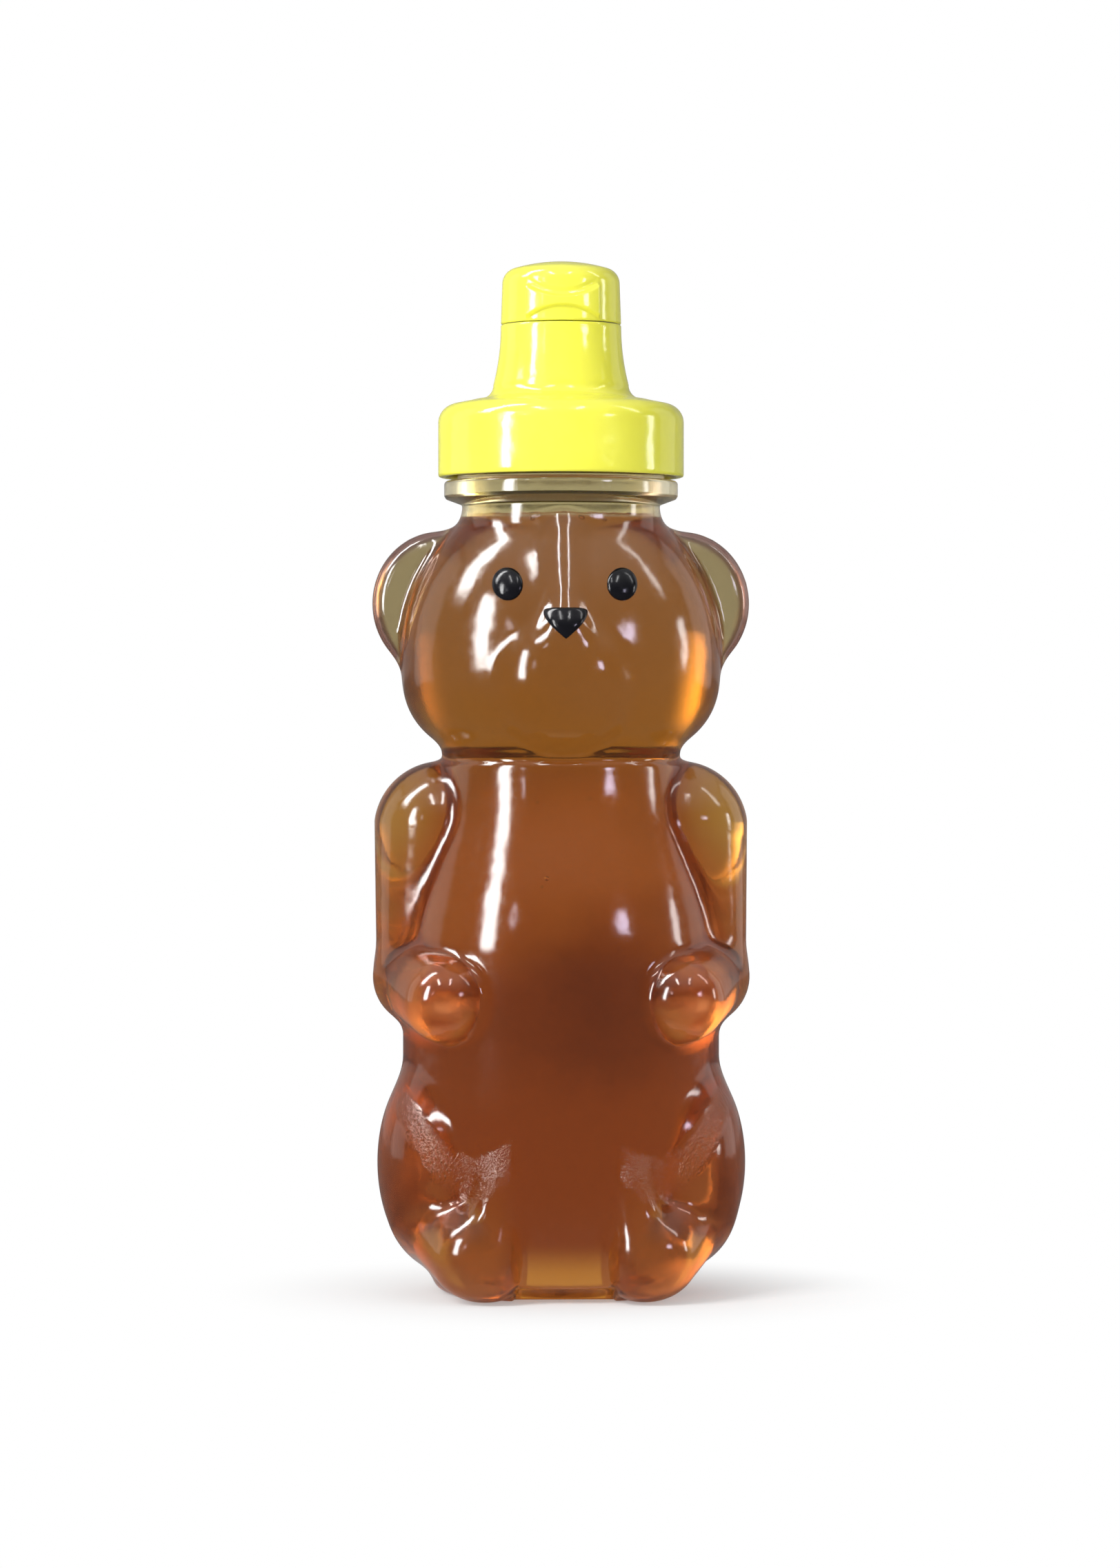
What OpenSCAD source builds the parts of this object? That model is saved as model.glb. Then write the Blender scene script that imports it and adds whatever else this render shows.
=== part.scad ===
// A squeeze bottle for honey in the shape of a sitting bear, with a screw closure
// that has a spout tower and a flip lid. Millimetres. The table is at z = 0, the neck
// axis is the Z axis, and the bear looks along -Y.

/* [Bottle wall] */
// Thickness of the blown wall
wall = 0.9; // [0.7:0.05:1.2]
// Rounding where the sides turn under to the base
base_round = 4; // [3:0.5:5]
// Rise of the push-up in the middle of the base
push_up = 1.8; // [1:0.2:2.4]

/* [Trunk] */
// Width of the belly
belly_w = 53; // [50:0.5:56]
// Depth of the belly
belly_d = 50.8; // [48:0.2:53]
// Height at which the belly starts to narrow towards the chest
belly_z = 57; // [54:0.5:60]
// Width of the trunk at the table
foot_w = 43.5; // [41:0.5:46]
// Depth of the trunk at the table
foot_d = 42.5; // [40:0.5:45]
// Height at which the trunk has its full width
hip_z = 34; // [30:1:38]
// Width of the throat
throat_w = 39.8; // [37:0.2:42]
// Depth of the throat
throat_d = 37.2; // [35:0.2:40]
// Height of the throat crease
throat_z = 89.3; // [87:0.1:91]
// Depth of the throat crease
crease = 0.45; // [0.2:0.05:0.7]

/* [Head] */
// Width of the head at its widest line
head_w = 53.6; // [50:0.2:56]
// Depth of the head at its widest line
head_d = 47; // [44:0.5:50]
// Height of the widest line above the throat crease
head_lift = 17.2; // [16:0.1:18.6]
// Crown above the widest line
head_up = 29; // [27:0.2:31]
// Chin below the widest line
head_down = 19.5; // [18:0.1:21]
// Width of the muzzle
muzzle_w = 25; // [22:0.5:28]
// Height of the muzzle
muzzle_h = 25; // [22:0.5:28]
// How far the muzzle stands out from the face
muzzle_out = 2.9; // [2:0.1:3.4]
// Muzzle below the widest line of the head
muzzle_drop = 3.8; // [2:0.2:5]
// Width of the bridge between the eyes
bridge_w = 7.6; // [6:0.2:9]

/* [Ears] */
// Distance of an ear's middle from the neck axis
ear_x = 20.3; // [19:0.1:21.5]
// Height of an ear's middle above the widest line of the head
ear_rise = 8.9; // [7:0.1:11]
// Width of an ear's disc
ear_w = 22.8; // [20:0.2:25]
// Height of an ear's disc
ear_h = 24.2; // [21:0.2:27]
// Thickness of an ear
ear_t = 6.6; // [5.4:0.2:8]

/* [Arms] */
// Radius of the shoulder
shoulder_r = 11.5; // [10:0.1:12.5]
// Distance of the shoulder from the neck axis
shoulder_x = 19.9; // [18.5:0.1:21]
// Shoulder below the throat crease
shoulder_drop = 11.8; // [11:0.1:14]
// Radius of the elbow
elbow_r = 7.7; // [7:0.1:8.4]
// Distance of the elbow from the neck axis
elbow_x = 23.3; // [22:0.1:24.5]
// Height of the elbow
elbow_z = 53; // [51:0.5:56]
// Radius of the paw
paw_r = 7; // [6.2:0.1:7.6]
// Sideways place of the paw
paw_x = 19.6; // [18:0.1:21]
// Forward place of the paw
paw_y = 18.6; // [17:0.1:19.4]
// Height of the paw
paw_z = 49.8; // [48:0.2:53]

/* [Legs] */
// Width over both thighs
thigh_w = 61.6; // [59:0.2:63.4]
// Sideways radius of a thigh
thigh_rx = 11; // [10:0.2:12.5]
// Front to back radius of a thigh
thigh_ry = 17; // [15:0.5:19]
// Upright radius of a thigh
thigh_rz = 18.3; // [16:0.1:19.5]
// Height of the thigh's middle
thigh_z = 22; // [20:0.2:23]
// Radius of the shin where it meets the foot
shin_r = 7.6; // [7:0.1:8.4]
// Radius of the heel
foot_r = 5.8; // [5:0.1:6.6]
// Radius of the toes
toe_r = 3.3; // [2.8:0.1:4]
// Sideways place of the foot
foot_x = 13.1; // [12:0.1:14.4]
// Forward place of the foot
foot_y = 19.6; // [18:0.1:20.4]
// Height of the toes
toe_z = 23.4; // [21:0.2:26]
// Rise of the arch between the feet
arch_up = 2.4; // [1:0.1:3]

/* [Neck finish] */
// Height of the neck's root above the widest line of the head
neck_lift = 24.5; // [22.5:0.5:26]
// Outer diameter of the neck
neck_d = 33.2; // [32:0.1:34]
// Diameter of the bead under the closure
bead_d = 39.2; // [38:0.1:39.8]
// Outer diameter of the finish behind the closure's skirt
finish_d = 34.8; // [34:0.1:36]
// Height of the finish above the bead
finish_h = 10.7; // [9.5:0.1:12]
// Thickness of the finish
finish_t = 1.6; // [1.3:0.1:2]

/* [Honey] */
// Fill line below the neck's root
fill_drop = 1; // [0.6:0.1:6]

/* [Face paint] */
// Diameter of an eye
eye_d = 5.1; // [4.4:0.1:5.8]
// Distance between the eyes' middles
eye_gap = 18.8; // [17:0.2:21]
// Height of the eyes above the widest line of the head
eye_rise = 11.6; // [10:0.2:13]
// Width of the nose
nose_w = 6.6; // [5.6:0.1:7.6]
// Height of the nose
nose_h = 4.9; // [4.2:0.1:5.6]
// Height of the nose above the widest line of the head
nose_rise = 5.3; // [4:0.2:6.4]

/* [Closure] */
// Outer diameter of the skirt
skirt_d = 41.2; // [40.6:0.1:42.4]
// Height of the skirt's side
skirt_h = 12.5; // [11.5:0.1:13.5]
// Wall of the closure
cap_wall = 1.3; // [1:0.1:1.5]
// Thickness of the liner disc
liner_t = 0.9; // [0.6:0.1:1.4]
// Diameter of the spout tower at its foot
tower_d = 22.7; // [21:0.1:24]
// Diameter of the spout tower at the parting line
parting_d = 20.2; // [19.4:0.1:20.8]
// Height of the parting line between tower and lid above the deck
tower_h = 12.4; // [11:0.1:14]
// Diameter of the dispensing orifice
orifice_d = 3.5; // [2.6:0.1:4.2]
// Height of the nozzle above the tower's top
nozzle_h = 1.7; // [1.2:0.1:2.2]

/* [Flip lid] */
// Height of the lid
lid_h = 10.5; // [9.5:0.1:12]
// Diameter of the lid at its top corner
lid_d = 19.7; // [19:0.1:20]
// How far the thumb tab stands out
tab_out = 0.9; // [0.5:0.1:1.4]
// Width of the thumb tab
tab_w = 12; // [9:0.5:13]
// Width of the living hinge
hinge_w = 7.4; // [5:0.2:7.8]
// Thickness of the living hinge
hinge_t = 0.5; // [0.35:0.05:0.7]

/* [Hidden] */
$fn = 96;

// Clearances
fill_gap = 0.25;    // honey to the wall's inside
paint_gap = 0.05;   // paint to the bottle
seat_gap = 0.15;    // liner to the mouth and to the deck
part_gap = 0.15;    // lid to tower
pin_gap = 0.08;     // plug pin to the orifice's mouth

// Blends between the forms of the bear
limb_blend = 2.2;
ear_blend = 2.2;
snout_blend = 3;
face_blend = 1.1;
neck_blend = 1.8;
arch_blend = 1;

// Colours
clear_color = [0.86, 0.88, 0.84, 0.45];
honey_color = [0.62, 0.30, 0.10];
paint_color = [0.05, 0.05, 0.06];
cap_color = [0.98, 0.95, 0.28];
liner_color = [0.93, 0.93, 0.90];

// Places that follow from the sizes above
head_z = throat_z + head_lift;
neck_z = head_z + neck_lift;
shoulder_z = throat_z - shoulder_drop;
thigh_x = thigh_w / 2 - thigh_rx;
muzzle_z = head_z - muzzle_drop;
muzzle_ry = 9.4;
toe_x = foot_x - foot_r + toe_r + 0.3;
toe_y = foot_y + 0.8;
heel_z = 4;
ankle_x = foot_x + 1.5;
ankle_y = foot_y - 1.8;
ankle_z = 8;
knee_y = -7;
knee_z = 14;
knee_r = shin_r + 0.8;
thigh_y = -1.5;
elbow_y = -2;
seam_y = 0.5;
chin_power = 1.5;
crown_z = neck_z - 10.5;
muzzle_y = head_d / 2 + muzzle_out - muzzle_ry;
nose_z = head_z + nose_rise;
eye_z = head_z + eye_rise;
brow_z = eye_z + 7;
brow_y = head_d / 2 * sqrt(1 - pow((brow_z - head_z) / head_up, 2)) + 0.7;
bridge_r = bridge_w / 2;
brow_r = bridge_r + 1.4;
bridge_y = muzzle_y + 5;
bridge_z = nose_z - 1;
fill_z = neck_z - fill_drop;
body_top = neck_z + 0.5;
standing_r = foot_y - foot_r - 2.4;
bead_z = neck_z + 2.1;
bead_h = 2.8;
mouth_z = bead_z + bead_h + finish_h;
deck_in = mouth_z + liner_t + 2 * seat_gap;
skirt_z = deck_in + cap_wall - skirt_h;
deck_z = deck_in + 1.9;
parting_z = deck_z + tower_h;
lid_z = parting_z + part_gap;
lid_top = lid_z + lid_h;
flat_y = sqrt(pow(parting_d / 2, 2) - pow(hinge_w / 2 + 0.4, 2));

// Vector and blending helpers
function mix(a, b, t) = a + (b - a) * t;
function clamp(v, a, b) = min(max(v, a), b);
function ease(t) = t * t * (3 - 2 * t);
function ramp(v, a, b) = ease(clamp((v - a) / (b - a), 0, 1));
function over(a, b) = [a[0] / b[0], a[1] / b[1], a[2] / b[2]];
function blend(a, b, k) = let (h = max(k - abs(a - b), 0) / k) min(a, b) - h * h * k / 4;
function trim(a, b, k) = -blend(-a, -b, k);

// Distances to the forms: negative inside, positive outside
function egg(p, c, r) =
    let (q = over(p - c, r), k0 = norm(q), k1 = max(norm(over(q, r)), 1e-6))
    k0 * (k0 - 1) / k1;
function limb(p, a, b, ra, rb) =
    let (h = clamp(((p - a) * (b - a)) / ((b - a) * (b - a)), 0, 1))
    norm(p - a - h * (b - a)) - mix(ra, rb, h);
function tube(p, w, d) = (norm([p[0] / w, p[1] / d]) - 1) * min(w, d);
function coin(p, c, w, h, t) =
    let (rim = (norm([(p[0] - c[0]) * 2 / w, (p[2] - c[2]) * 2 / h]) - 1) * w / 2)
    norm([max(rim + t / 2, 0), p[1] - c[1]]) - t / 2;

// The forms of the bear. The bear is the same left and right, so p[0] is never negative.
function trunk(p) =
    let (low = ramp(p[2], 0, hip_z), high = ramp(p[2], belly_z, throat_z + 1))
    let (w = mix(mix(foot_w, belly_w, low), throat_w, high))
    let (d = mix(mix(foot_d, belly_d, low), throat_d, high))
    let (groove = crease * exp(-pow((p[2] - throat_z) / 0.7, 2)))
    trim(tube(p, w / 2, d / 2) + groove, p[2] - head_z, 4);
function head(p) =
    let (rise = p[2] - head_z)
    let (z = rise > 0 ? rise : -head_down * pow(-rise / head_down, chin_power))
    egg([p[0], p[1], z], [0, 0, 0], [head_w / 2, head_d / 2, rise > 0 ? head_up : head_down]);
function face(p) =
    blend(egg(p, [0, -muzzle_y, muzzle_z], [muzzle_w / 2, muzzle_ry, muzzle_h / 2]),
          limb(p, [0, brow_r - brow_y, brow_z], [0, -bridge_y, bridge_z], brow_r, bridge_r),
          snout_blend);
function ear(p) =
    coin(p, [ear_x, seam_y, head_z + ear_rise], ear_w, ear_h, ear_t);
function arm(p) =
    let (elbow = [elbow_x, elbow_y, elbow_z])
    blend(limb(p, [shoulder_x, seam_y, shoulder_z], elbow, shoulder_r, elbow_r),
          limb(p, elbow, [paw_x, -paw_y, paw_z], elbow_r, paw_r), limb_blend);
function leg(p) =
    let (thigh = egg(p, [thigh_x, thigh_y, thigh_z], [thigh_rx, thigh_ry, thigh_rz]))
    let (shin = limb(p, [thigh_x, knee_y, knee_z], [ankle_x, -ankle_y, ankle_z], knee_r, shin_r))
    let (sole = limb(p, [foot_x, -foot_y, heel_z], [toe_x, -toe_y, toe_z - toe_r], foot_r, toe_r))
    blend(blend(thigh, shin, limb_blend), sole, limb_blend);
function neck(p) = norm([p[0], p[1]]) - neck_d / 2 + 8 * max(crown_z - p[2], 0);
function arch(p) = min(arch_up - p[2], foot_x - foot_r + 0.6 - p[0], -p[1] - foot_y + foot_r);

// The whole skin: zero on the outside, -wall on the inside
function skin(p) =
    let (body = blend(trunk(p), head(p), neck_blend))
    let (faced = p[2] > throat_z ? blend(body, face(p), face_blend) : body)
    let (eared = p[2] > throat_z ? blend(faced, ear(p), ear_blend) : faced)
    let (armed = p[2] < shoulder_z + shoulder_r + limb_blend ? blend(eared, arm(p), limb_blend) : eared)
    let (legged = p[2] < thigh_z + thigh_rz + limb_blend ? blend(armed, leg(p), limb_blend) : armed)
    let (necked = p[2] > crown_z ? blend(legged, neck(p), neck_blend) : legged)
    trim(trim(necked, -p[2], base_round), arch(p), arch_blend);

// Distance from the axis to the skin, sunk by so much, found by halving the interval
near = 6;
far = 36;
function reach(ax, ay, z, sunk, low = near, high = far, steps = 13) =
    steps == 0 ? (low + high) / 2 :
    let (r = (low + high) / 2)
    skin([r * ax, r * ay, z]) + sunk > 0
        ? reach(ax, ay, z, sunk, low, r, steps - 1)
        : reach(ax, ay, z, sunk, r, high, steps - 1);

// One side's directions from the front to the back, closer together at paws and ears
side = [-90, -82, -76, -72, -68, -63, -58, -53, -48, -43, -38, -33, -28, -23, -18, -13, -9, -6.4,
        -3.5, 0, 4, 7.5, 12, 22, 36, 54, 72, 90];
other_side = [for (i = [len(side) - 2:-1:1]) 180 - side[i]];
around = concat(side, other_side);
ring_n = len(around);

// One ring of the skin at a height, and a round one
function ring(z, sunk) =
    let (half = [for (a = side) reach(cos(a), sin(a), z, sunk)])
    let (r = concat(half, [for (i = [len(side) - 2:-1:1]) half[i]]))
    [for (i = [0:ring_n - 1]) [r[i] * cos(around[i]), r[i] * sin(around[i]), z]];
function round_ring(r, z) = [for (a = around) [r * cos(a), r * sin(a), z]];

// Heights of the rings, closer together where the form turns fast
function spread(a, b, shares) = [for (t = shares) mix(a, b, t)];
heights = concat(
    spread(0, toe_z, [0.03, 0.08, 0.17, 0.3, 0.47, 0.64, 0.79, 0.9, 0.975]),
    spread(toe_z, paw_z - paw_r, [0.05, 0.28, 0.52, 0.78]),
    spread(paw_z - paw_r, paw_z + paw_r, [0, 0.12, 0.26, 0.42, 0.6, 0.78, 0.92]),
    spread(paw_z + paw_r, throat_z, [0.06, 0.18, 0.38, 0.56, 0.71, 0.83, 0.91, 0.97, 1]),
    spread(throat_z, head_z, [0.06, 0.22, 0.45, 0.73, 1]),
    spread(head_z, neck_z, [0.12, 0.24, 0.36, 0.49, 0.62, 0.75, 0.86, 0.94]));

// Closed skin from a stack of rings, capped at its first and last ring. Rising and falling
// rings are split along the same diagonals, so skins that lie in each other never cross.
module stack(rings) {
    points = [for (r = rings) each r];
    n = ring_n;
    top = len(rings) - 1;
    sides = [for (j = [0:top - 1], i = [0:n - 1])
        let (a = j * n + i, b = j * n + (i + 1) % n, rising = rings[j + 1][0][2] > rings[j][0][2])
        each rising ? [[a, a + n, b + n], [a, b + n, b]] : [[a, a + n, b], [b, a + n, b + n]]];
    bottom_cap = [for (i = [0:n - 1]) i];
    top_cap = [for (i = [n - 1:-1:0]) top * n + i];
    polyhedron(points, concat([bottom_cap], sides, [top_cap]));
}

// Rings of the skin, sunk by so much, from the push-up in the base to the given top
dome_r = standing_r - 4.5;
ring_apart = 0.4;
function body_rings(sunk, top) = concat(
    [round_ring(dome_r, sunk + push_up), round_ring(standing_r, sunk), ring(sunk, sunk)],
    [for (z = heights) if (z > sunk + ring_apart && z < top - ring_apart) ring(z, sunk)],
    [ring(top, sunk)]);
function reversed(list) = [for (i = [len(list) - 1:-1:0]) list[i]];

module bottle() {
    color(clear_color) {
        stack(concat(body_rings(0, body_top), reversed(body_rings(wall, body_top))));
        neck_finish();
        for (s = [-1, 1]) eye_place(s) boss(eye_d);
    }
}

// Neck, bead and finish as turned
module neck_finish() {
    out = neck_d / 2 + 0.15;
    inside = neck_d / 2 - wall - 0.15;
    r = finish_d / 2;
    rotate_extrude()
        polygon([[inside, neck_z], [out, neck_z], [out, neck_z + 0.6],
                 [bead_d / 2 - 0.5, bead_z - 0.3], [bead_d / 2, bead_z + 0.2],
                 [bead_d / 2, bead_z + bead_h - 0.5], [bead_d / 2 - 0.5, bead_z + bead_h],
                 [r, bead_z + bead_h], [r, mouth_z - 0.5], [r - 0.4, mouth_z],
                 [r - finish_t + 0.2, mouth_z], [r - finish_t, mouth_z - 0.3],
                 [r - finish_t, bead_z + bead_h], [inside, bead_z]]);
}

module honey() color(honey_color) stack(body_rings(wall + fill_gap, fill_z));

// Distance from the neck axis to the face at a sideways place and a height
function far_off(x, z, r, steps = 4) =
    steps == 0 ? r :
    far_off(x, z, reach(x / r, -sqrt(1 - x * x / (r * r)), z, 0), steps - 1);

// Stands something on the face at a sideways place and a height.
// Local +Z is the outward normal and local +Y points up the face.
module on_face(x, z, lift) {
    s = x < 0 ? -1 : 1;
    r = far_off(abs(x), z, head_d / 2);
    p = [abs(x), -sqrt(r * r - x * x), z];
    h = 0.05;
    n = [for (v = [[h, 0, 0], [0, h, 0], [0, 0, h]]) skin(p + v) - skin(p - v)];
    turn = atan2(n[0], -n[1]);
    tilt = atan2(n[2], norm([n[0], n[1]]));
    translate([s * p[0], p[1], p[2]])
        rotate([0, 0, s * turn])
        rotate([90 - tilt, 0, 0])
        translate([0, 0, lift])
        children();
}
module eye_place(s) on_face(s * eye_gap / 2, eye_z, 0) children();

// Low round boss that carries the paint
boss_h = 0.35;
module boss(d) translate([0, 0, -wall / 2]) cylinder(h = wall / 2 + boss_h, d = d + 0.5);

// Domed film of paint on a boss
module paint_dome(d) {
    rise = 0.8;
    r = (pow(d / 2, 2) + rise * rise) / (2 * rise);
    translate([0, 0, boss_h + paint_gap])
        intersection() {
            translate([0, 0, rise - r]) sphere(r);
            cylinder(h = rise + 1, d = d);
        }
}
module left_eye() color(paint_color) eye_place(-1) paint_dome(eye_d);
module right_eye() color(paint_color) eye_place(1) paint_dome(eye_d);

// Rounded triangle, point down, over the top of the muzzle
module nose() {
    corner = 1.3;
    color(paint_color)
        on_face(0.001, nose_z, 0.2)
        hull() {
            for (s = [-1, 1])
                translate([s * (nose_w / 2 - corner), nose_h / 2 - corner, 0])
                    cylinder(h = 0.6, r1 = corner, r2 = corner - 0.3, $fn = 24);
            translate([0, -nose_h / 2 + corner, 0])
                cylinder(h = 0.6, r1 = corner, r2 = corner - 0.3, $fn = 24);
        }
}

module seal_liner()
    color(liner_color)
        translate([0, 0, mouth_z + seat_gap])
            cylinder(h = liner_t, d = finish_d + 2.4);

// Points along an arc in the drawing plane
function arc(x, z, r, from, to, n = 6) =
    [for (i = [0:n]) let (a = mix(from, to, i / n)) [x + r * cos(a), z + r * sin(a)]];
// Radius of the tower's outside at a share of its height
function tower_r(t) = mix(parting_d, tower_d, pow(1 - t, 2)) / 2;

module closure_base() {
    corner = 3.2;
    corner_turn = 80;
    slope_drop = 0.8;
    fillet = 2.4;
    skirt_in = skirt_d / 2 - 1.5;
    tower_foot = deck_z + fillet;
    steps = 5;
    shell = concat(
        [[skirt_in, skirt_z], [skirt_d / 2, skirt_z]],
        arc(skirt_d / 2 - corner, deck_z - corner - slope_drop, corner, 0, corner_turn),
        arc(tower_d / 2 + fillet, deck_z + fillet, fillet, 270, 180),
        [for (i = [1:steps]) [tower_r(i / steps), mix(tower_foot, parting_z, i / steps)]],
        [[orifice_d / 2 + 1.3, parting_z], [orifice_d / 2 + 1.1, parting_z + nozzle_h],
         [orifice_d / 2, parting_z + nozzle_h], [orifice_d / 2, parting_z - cap_wall]],
        [for (i = [steps:-1:0])
            [tower_r(i / steps) - cap_wall, mix(tower_foot, parting_z - cap_wall, i / steps)]],
        [[tower_r(0) - cap_wall, deck_in], [skirt_in, deck_in]]);
    color(cap_color)
        difference() {
            rotate_extrude() polygon(shell);
            translate([-hinge_w, flat_y, parting_z - 2.2]) cube([2 * hinge_w, 5, 5]);
        }
}

module flip_lid() {
    top_corner = 2.65;
    corner_turn = 72;
    dome_h = 1.05;
    side_r = lid_d / 2;
    ceiling = lid_top - 1.5;
    crown = arc(side_r - top_corner, lid_top - dome_h - top_corner, top_corner, 0, corner_turn);
    outside = concat([[parting_d / 2, lid_z]], crown,
                     [for (i = [1:3]) [crown[6][0] * (1 - i / 3),
                         mix(crown[6][1], lid_top, 1 - pow(1 - i / 3, 2))]]);
    pin_r = orifice_d / 2 - pin_gap;
    inside = [[0, parting_z + nozzle_h - 0.9], [pin_r - 0.25, parting_z + nozzle_h - 0.9],
              [pin_r, parting_z + nozzle_h], [pin_r, ceiling],
              [side_r - cap_wall - 1, ceiling], [side_r - cap_wall, ceiling - 1],
              [parting_d / 2 - cap_wall, lid_z]];
    color(cap_color)
        difference() {
            union() {
                rotate_extrude() polygon(concat(outside, inside));
                thumb_tab();
            }
            translate([-hinge_w, flat_y, lid_z - 1]) cube([2 * hinge_w, 5, 3.2]);
        }
}

// Ledge on the lid's front, hollowed from above and from below for the thumb
module thumb_tab() {
    waist = lid_z + 3.3;
    thick = 1.7;
    scoop = 9.5;
    difference() {
        intersection() {
            difference() {
                cylinder_at(lid_z + 0.9, 5.2, parting_d / 2 + tab_out);
                cylinder_at(lid_z, 8, parting_d / 2 - 0.8);
            }
            translate([-tab_w / 2, -20, lid_z]) cube([tab_w, 20, 8]);
        }
        for (z = [waist + thick / 2 + scoop, waist - thick / 2 - scoop])
            translate([0, 0, z]) rotate([90, 0, 0]) cylinder(h = 20, r = scoop);
    }
}
module cylinder_at(z, h, r) translate([0, 0, z]) cylinder(h = h, r = r);

// Thin web across the parting line at the rear, thinnest in the middle
module living_hinge() {
    low = parting_z - 1.9;
    high = lid_z + 1.9;
    mid = (parting_z + lid_z) / 2;
    y = flat_y + paint_gap;
    color(cap_color)
        rotate([90, 0, 90])
        translate([0, 0, -hinge_w / 2])
        linear_extrude(hinge_w)
        polygon([[y, low], [y + hinge_t, low], [y + hinge_t, mid - 0.6], [y + hinge_t * 0.6, mid],
                 [y + hinge_t, mid + 0.6], [y + hinge_t, high], [y, high]]);
}

bottle();
honey();
left_eye();
right_eye();
nose();
seal_liner();
closure_base();
flip_lid();
living_hinge();
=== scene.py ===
"""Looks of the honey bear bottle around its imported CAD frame. Lengths are in millimetres
until mesh() turns them into metres. The bear looks along -Y and its neck axis is Z."""
import math
import random

import bpy
import numpy as np
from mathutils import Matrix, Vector


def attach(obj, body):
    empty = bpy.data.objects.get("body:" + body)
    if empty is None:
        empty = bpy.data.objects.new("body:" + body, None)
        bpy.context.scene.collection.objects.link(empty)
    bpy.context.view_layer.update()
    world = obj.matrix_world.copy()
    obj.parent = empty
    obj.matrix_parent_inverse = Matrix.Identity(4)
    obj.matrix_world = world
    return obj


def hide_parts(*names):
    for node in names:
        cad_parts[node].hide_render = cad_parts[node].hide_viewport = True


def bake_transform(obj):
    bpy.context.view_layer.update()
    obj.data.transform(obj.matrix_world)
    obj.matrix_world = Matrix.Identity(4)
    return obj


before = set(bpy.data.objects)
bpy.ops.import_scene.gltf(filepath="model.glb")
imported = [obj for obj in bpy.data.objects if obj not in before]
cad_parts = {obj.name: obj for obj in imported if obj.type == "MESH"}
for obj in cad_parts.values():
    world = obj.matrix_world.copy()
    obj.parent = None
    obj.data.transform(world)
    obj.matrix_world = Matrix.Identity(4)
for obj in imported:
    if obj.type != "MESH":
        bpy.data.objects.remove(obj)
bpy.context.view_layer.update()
random.seed(7)

# Sizes of the bear's skin, the same as in the CAD source. Only the ears are 0.05 mm further in, so
# that they stay inside the solids' box.
WALL, SEAM_Y = 0.9, 0.5
BASE_ROUND, PUSH_UP, PUSH_EASE, STANDING_R = 4.0, 1.8, 6, 11.4
FOOT_W, FOOT_D, HIP_Z = 43.5, 42.5, 34.0
BELLY_W, BELLY_D, BELLY_Z = 53.0, 50.8, 57.0
THROAT_W, THROAT_D, THROAT_Z = 39.8, 37.2, 89.3
CREASE, CREASE_H, TRUNK_ROUND = 0.45, 0.7, 4
HEAD_W, HEAD_D, HEAD_Z = 53.6, 47.0, 106.5
HEAD_UP, HEAD_DOWN, CHIN_POWER = 29.0, 19.5, 1.5
NECK_Z, NECK_D, CROWN_Z, NECK_FADE = 131.0, 33.2, 120.5, 8
FILL_Z = NECK_Z - 1
NOSE_Z, EYE_Z, EYE_X = HEAD_Z + 5.3, HEAD_Z + 11.6, 9.4
MUZZLE_W, MUZZLE_H, MUZZLE_OUT, MUZZLE_RY = 25.0, 25.0, 2.9, 9.4
MUZZLE_Y, MUZZLE_Z = HEAD_D / 2 + MUZZLE_OUT - MUZZLE_RY, HEAD_Z - 3.8
BRIDGE_R, BRIDGE_Y, BRIDGE_Z = 3.8, MUZZLE_Y + 5, NOSE_Z - 1
BROW_R, BROW_Z = 5.2, EYE_Z + 7
BROW_Y = HEAD_D / 2 * math.sqrt(1 - ((BROW_Z - HEAD_Z) / HEAD_UP) ** 2) + 0.7
EAR_X, EAR_Z, EAR_W, EAR_H, EAR_T = 20.25, HEAD_Z + 8.9, 22.8, 24.2, 6.6
SHOULDER_R, SHOULDER_X, SHOULDER_Z = 11.5, 19.9, THROAT_Z - 11.8
ELBOW_R, ELBOW_X, ELBOW_Y, ELBOW_Z = 7.7, 23.3, -2, 53.0
PAW_R, PAW_X, PAW_Y, PAW_Z = 7.0, 19.6, 18.6, 49.8
THIGH_W, THIGH_RX, THIGH_RY, THIGH_RZ = 61.6, 11.0, 17.0, 18.3
THIGH_X, THIGH_Y, THIGH_Z = THIGH_W / 2 - THIGH_RX, -1.5, 22.0
SHIN_R = 7.6
KNEE_R, KNEE_Y, KNEE_Z = SHIN_R + 0.8, -7, 14
FOOT_R, FOOT_X, FOOT_Y, HEEL_Z = 5.8, 13.1, 19.6, 4
ANKLE_X, ANKLE_Y, ANKLE_Z = FOOT_X + 1.5, FOOT_Y - 1.8, 8
TOE_R, TOE_Y, TOE_Z = 3.3, FOOT_Y + 0.8, 23.4
TOE_X = FOOT_X - FOOT_R + TOE_R + 0.3
ARCH_UP, ARCH_X, ARCH_BLEND = 2.4, FOOT_X - FOOT_R + 0.6, 1
LIMB_BLEND, EAR_BLEND, SNOUT_BLEND, FACE_BLEND, NECK_BLEND = 2.2, 2.2, 3.0, 1.1, 1.8

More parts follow.
